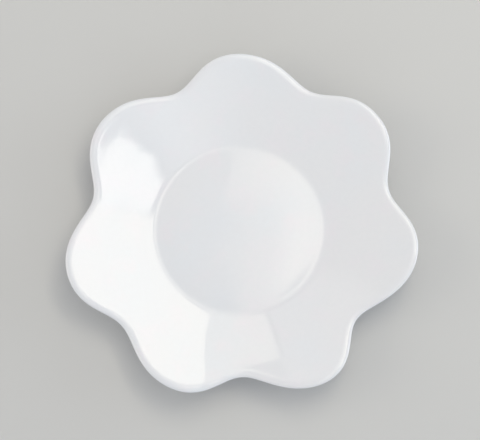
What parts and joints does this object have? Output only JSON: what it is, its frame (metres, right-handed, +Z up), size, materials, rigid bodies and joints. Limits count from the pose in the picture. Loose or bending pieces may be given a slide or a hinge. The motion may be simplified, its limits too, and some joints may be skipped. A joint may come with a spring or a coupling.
{
  "type": "scalloped dessert plate",
  "caption": "Round white glazed porcelain dessert plate with a scalloped edge, a level well, a rising rim and a foot ring.",
  "frame": {"origin": "middle of the foot ring's standing face", "axes": "+Z up, square to the standing face, +Y through the middle of the first lobe, +X to the right of it seen from above"},
  "size_m": [0.198, 0.1928, 0.0222],
  "materials": {
    "clay": "fired white porcelain, matt, all of it under the glaze",
    "bare_foot": "fired white porcelain, matt and slightly warm where the standing face is bare",
    "glaze": "smooth glossy clear glaze over white, very slightly cool"
  },
  "bodies": {
    "root": {"plate_body": "clay", "foot_ring": "bare_foot", "glaze_coat": "glaze", "base_glaze": "glaze"}
  },
  "joints": []
}
